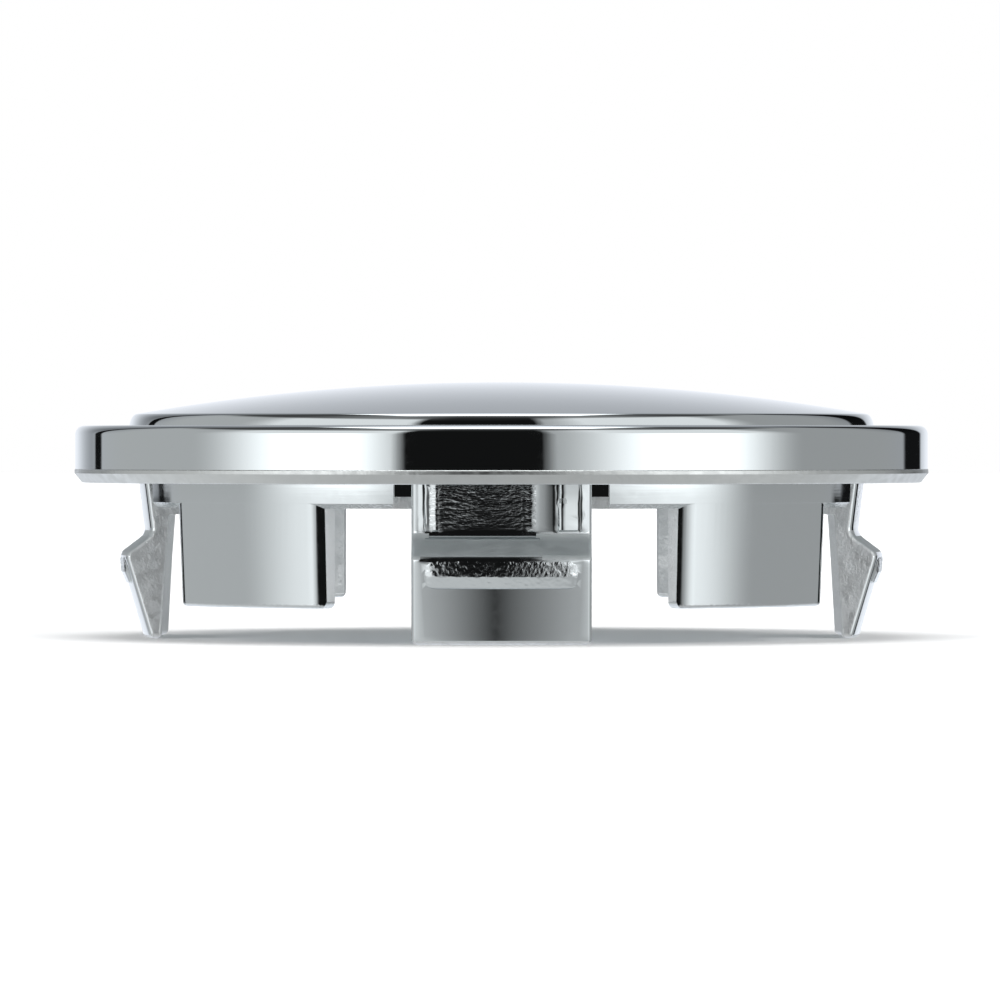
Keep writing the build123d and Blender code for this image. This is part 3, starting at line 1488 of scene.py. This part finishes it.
@dataclass
class RoomLight:
    """Soft light from all round the cap, laid out by direction."""

    # Round the horizon: fill, two soft boxes, the corners and the backdrop, with dark gaps
    dark: float = 0.008
    fill: Step = Step(-30.0, 30.0, 0.51, 0.40)
    left_box: SoftBox = SoftBox(-92.0, -48.0, -20.0, 1.9)
    right_box: SoftBox = SoftBox(8.0, 54.0, 89.0, 1.9)
    corner_share: Step = Step(138.0, 146.0)
    corner_fill: float = 0.36
    backdrop_share: Step = Step(143.0, 168.0)
    backdrop: float = 0.95
    back_gaps: tuple[Gap, ...] = (Gap(-139.5, 2.6, 1.4), Gap(147.4, 8.4, 3.0))
    back_share: Step = Step(120.0, 150.0)
    back_fade: Step = Step(0.0, 20.0, 1.0, 0.5)
    box_cap: Step = Step(4.0, 14.0, 2.0, 0.95)
    near_end: Step = Step(50.0, 90.0, 0.60, 1.05)
    near_end_top: Step = Step(-1.0, -4.0)
    low_gap_start: Step = Step(130.0, 134.0)
    low_gap_end: Step = Step(149.0, 153.0, 1.0, 0.0)
    low_gap_top: Step = Step(-1.2, -2.2)
    low_gap_foot: Step = Step(-6.0, -9.0, 1.0, 0.0)
    # The table under the horizon, and the dark gap for the camera
    table: Step = Step(-78.0, -52.0, 0.42, 0.66)
    table_right: Step = Step(-10.0, 25.0)
    table_right_foot: Step = Step(-50.0, -40.0)
    table_right_level: float = 0.7
    table_behind: Step = Step(118.0, 150.0)
    table_back: float = 0.95
    table_top: float = -10.0
    table_foot: Step = Step(90.0, 140.0, -46.0, -22.0)
    camera_gap_half: Step = Step(-30.0, 0.0, 0.0, 18.0)
    camera_gap_middle: Step = Step(-34.0, -4.0, -2.0, -7.4)
    camera_gap_feather: Step = Step(-34.0, 4.0, 26.0, 3.4)
    camera_gap_foot: Step = Step(-46.0, -38.0)
    camera_gap_level: Step = Step(-30.0, -8.0, 0.05, dark)
    # The ceiling over the screens, and the soft box that hangs from it
    over_camera: Step = Step(50.0, 80.0, 0.03, 0.32)
    over_sides: Step = Step(45.0, 95.0, 0.24, 0.07)
    over_sides_share: Step = Step(15.0, 45.0)
    over_back_share: Step = Step(120.0, 160.0)
    over_back: float = 0.45
    screen_end: Step = Step(-10.0, 34.0, 42.0, 51.0)
    screen_end_back: float = 46.0
    screen_feather: Step = Step(18.0, 36.0, 12.0, 4.5)
    overhead: float = 2.3
    overhead_lowest: float = 0.05
    overhead_left: float = 0.045
    overhead_front: Step = Step(-0.36, -0.26)
    overhead_back: Step = Step(0.28, 0.40, 1.0, 0.0)
    overhead_sides: Step = Step(0.27, 0.38, 1.0, 0.0)
    floor_lift: float = 2.8
    side_tint: tuple[float, ...] = (0.98, 1.0, 1.01)
    back_tint: tuple[float, ...] = (0.96, 1.0, 1.07)
    # Set by build: the world's node tree, the direction and its angles in degrees
    book: NodeBook = field(init=False)
    x: bpy.types.NodeSocket = field(init=False)
    y: bpy.types.NodeSocket = field(init=False)
    z: bpy.types.NodeSocket = field(init=False)
    azimuth: bpy.types.NodeSocket = field(init=False)
    elevation: bpy.types.NodeSocket = field(init=False)
    aside: bpy.types.NodeSocket = field(init=False)
    behind: bpy.types.NodeSocket = field(init=False)

    def build(self) -> None:
        """Makes the world that lights the cap."""
        world = bpy.data.worlds.new("studio")
        bpy.context.scene.world = world
        world.use_nodes = True
        self.book = book = NodeBook(world.node_tree)
        place = book.add("ShaderNodeTexCoord")
        split = book.add("ShaderNodeSeparateXYZ")
        book.feed(split.inputs[0], place.outputs["Generated"])
        self.x, self.y, self.z = split.outputs
        turn = book.math("ARCTAN2", self.x, book.product(self.y, -1.0))
        self.azimuth = book.product(turn, DEGREES_PER_RADIAN)
        self.elevation = book.product(book.math("ARCSINE", self.z), DEGREES_PER_RADIAN)
        self.aside = book.math("ABSOLUTE", self.azimuth)
        self.behind = self._aside(self.back_share)
        room = self._ceiling(self._table(self._ring(self._walls())))
        light = book.mix(self._overhead(), room, self.overhead)
        # The floor takes a little more light, and the camera sees plain white behind the cap
        path = book.add("ShaderNodeLightPath")
        on_floor, to_camera = path.outputs["Is Diffuse Ray"], path.outputs["Is Camera Ray"]
        lifted = book.product(light, book.mix(on_floor, 1.0, self.floor_lift))
        background = world.node_tree.nodes["Background"].inputs
        book.feed(background["Strength"], book.mix(to_camera, lifted, 1.0))
        # Reflected light is a little cool, most of all from behind
        plain = book.math("MAXIMUM", to_camera, on_floor)
        tint = book.add("ShaderNodeCombineColor")
        for socket, side, back in zip(tint.inputs, self.side_tint, self.back_tint):
            book.feed(socket, book.mix(plain, book.mix(self.behind, side, back), 1.0))
        book.feed(background["Color"], tint.outputs[0])

    def _round(self, step: Step) -> bpy.types.NodeSocket:
        """Adds a step along the azimuth."""
        return self.book.step(self.azimuth, step)

    def _aside(self, step: Step) -> bpy.types.NodeSocket:
        """Adds a step along the azimuth without its sign."""
        return self.book.step(self.aside, step)

    def _up(self, step: Step) -> bpy.types.NodeSocket:
        """Adds a step along the elevation."""
        return self.book.step(self.elevation, step)

    def _off(self, azimuth: object) -> bpy.types.NodeSocket:
        """Measures how far the direction is turned away from an azimuth."""
        return self.book.math("ABSOLUTE", self.book.math("SUBTRACT", self.azimuth, azimuth))

    def _walls(self) -> bpy.types.NodeSocket:
        """Lays the lights and the dark gaps out round the horizon.

        Returns:
            The radiance at the horizon.
        """
        book = self.book
        level = self._round(self.fill)
        for box in (self.left_box, self.right_box):
            rise = book.ramp(self.azimuth, box.start, box.peak)
            fall = book.ramp(self.azimuth, box.peak, box.end, 1.0, 0.0)
            level = book.mix(book.product(rise, fall), level, box.radiance)
        level = book.mix(self._aside(self.corner_share), level, self.corner_fill)
        level = book.mix(self._aside(self.backdrop_share), level, self.backdrop)
        for gap in self.back_gaps:
            inner, outer = gap.half - gap.feather / 2, gap.half + gap.feather / 2
            within = book.ramp(self._off(gap.azimuth), inner, outer, 1.0, 0.0)
            level = book.mix(within, level, self.dark)
        return level

    def _ring(self, walls: bpy.types.NodeSocket) -> bpy.types.NodeSocket:
        """Lets the lights round the horizon change with the elevation.

        Args:
            walls: The radiance at the horizon.

        Returns:
            The radiance above and just below the horizon.
        """
        book = self.book
        # Higher up the soft boxes are capped, and the backdrop fades
        capped = book.math("MINIMUM", walls, self._up(self.box_cap))
        ring = book.mix(self.behind, capped, book.product(walls, self._up(self.back_fade)))
        # Below the horizon the soft boxes are dimmer toward the camera
        near_end = self._aside(self.near_end)
        ring = book.product(ring, book.mix(self._up(self.near_end_top), 1.0, near_end))
        # Just below the horizon the gaps at the back widen
        wider = book.product(
            self._aside(self.low_gap_start),
            self._aside(self.low_gap_end),
            self._up(self.low_gap_top),
            self._up(self.low_gap_foot),
        )
        return book.mix(wider, ring, self.dark)

    def _table(self, ring: bpy.types.NodeSocket) -> bpy.types.NodeSocket:
        """Lays the table under the lights and cuts the dark gap for the camera.

        Args:
            ring: The radiance above and just below the horizon.

        Returns:
            The radiance below the ceiling.
        """
        book = self.book
        right = book.product(self._round(self.table_right), self._up(self.table_right_foot))
        table = book.product(self._up(self.table), book.mix(right, 1.0, self.table_right_level))
        table = book.mix(self._aside(self.table_behind), table, self.table_back)
        foot = self._aside(self.table_foot)
        lower = book.mix(book.ramp(self.elevation, self.table_top, foot), ring, table)
        # The camera's gap narrows and softens toward the table
        half = self._up(self.camera_gap_half)
        off = self._off(self._up(self.camera_gap_middle))
        edge = book.math("ADD", half, self._up(self.camera_gap_feather))
        gap = book.ramp(off, half, edge, 1.0, 0.0, "LINEAR")
        gap = book.product(gap, self._up(self.camera_gap_foot))
        return book.mix(gap, lower, self._up(self.camera_gap_level))

    def _ceiling(self, walls: bpy.types.NodeSocket) -> bpy.types.NodeSocket:
        """Ends the screens below a ceiling, lower to the left of the camera.

        Args:
            walls: The radiance below the ceiling.

        Returns:
            The radiance of the whole room.
        """
        book = self.book
        to_sides = self._aside(self.over_sides_share)
        ceiling = book.mix(to_sides, self._up(self.over_camera), self._aside(self.over_sides))
        ceiling = book.mix(self._aside(self.over_back_share), ceiling, self.over_back)
        end = book.mix(self.behind, self._round(self.screen_end), self.screen_end_back)
        above = book.math("SUBTRACT", self.elevation, end)
        over = book.math("DIVIDE", above, self._aside(self.screen_feather))
        return book.mix(book.ramp(over, -1.0, 1.0), walls, ceiling)

    def _overhead(self) -> bpy.types.NodeSocket:
        """Hangs a soft box over the cap.

        Returns:
            The share of the soft box in the direction.
        """
        book = self.book
        height = book.math("MAXIMUM", self.z, self.overhead_lowest)
        ahead = book.math("DIVIDE", self.y, height)
        across = book.math("ADD", book.math("DIVIDE", self.x, height), self.overhead_left)
        return book.product(
            book.step(ahead, self.overhead_front),
            book.step(ahead, self.overhead_back),
            book.step(book.math("ABSOLUTE", across), self.overhead_sides),
        )


@dataclass
class Studio:
    """Floor, soft light and camera."""

    light: RoomLight = field(default_factory=RoomLight)
    camera_distance: float = 622.0
    camera_z: float = 14.54
    aim_z: float = 10.1
    aim_x: float = -0.11
    field_mm: float = 74.0
    sensor_mm: float = 36.0
    clip_start: float = 0.01
    floor_size: float = 6.0
    floor_albedo: float = 0.92
    floor_roughness: float = 0.9

    def build(self) -> None:
        """Builds the floor, the light and the camera."""
        self._floor()
        self.light.build()
        self._camera()

    def _floor(self) -> None:
        """Lays the pale floor that the cap stands on."""
        bpy.ops.object.select_all(action="DESELECT")
        bpy.ops.mesh.primitive_plane_add(size=self.floor_size, location=(0, 0, 0))
        floor = bpy.context.object
        floor.name = "floor"
        floor.visible_glossy = False
        material = bpy.data.materials.new("pale_floor")
        material.use_nodes = True
        shader = material.node_tree.nodes["Principled BSDF"]
        shader.inputs["Base Color"].default_value = (*(self.floor_albedo,) * 3, 1.0)
        shader.inputs["Roughness"].default_value = self.floor_roughness
        shader.inputs["Specular IOR Level"].default_value = 0.0
        floor.data.materials.append(material)

    def _camera(self) -> None:
        """Sets the camera where the photograph was taken from."""
        spot = Vector((self.aim_x, -self.camera_distance, self.camera_z)) * METRES_PER_MM
        aim = Vector((self.aim_x, 0.0, self.aim_z)) * METRES_PER_MM
        turn = (aim - spot).to_track_quat("-Z", "Y").to_euler()
        bpy.ops.object.camera_add(location=spot, rotation=turn)
        camera = bpy.context.object
        camera.data.sensor_width = self.sensor_mm
        camera.data.lens = self.sensor_mm * self.camera_distance / self.field_mm
        camera.data.clip_start = self.clip_start
        bpy.context.scene.camera = camera
        bpy.context.scene.view_settings.view_transform = "Standard"


def main() -> None:
    """Builds the cap and the studio in order."""
    logging.basicConfig(level=logging.INFO, format="%(name)s: %(message)s")
    finishes = Finishes()
    shell = CentreCap().build(finishes)
    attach(shell, "root")
    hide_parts("centre_cap")
    Studio().build()


if __name__ == "__main__":
    main()
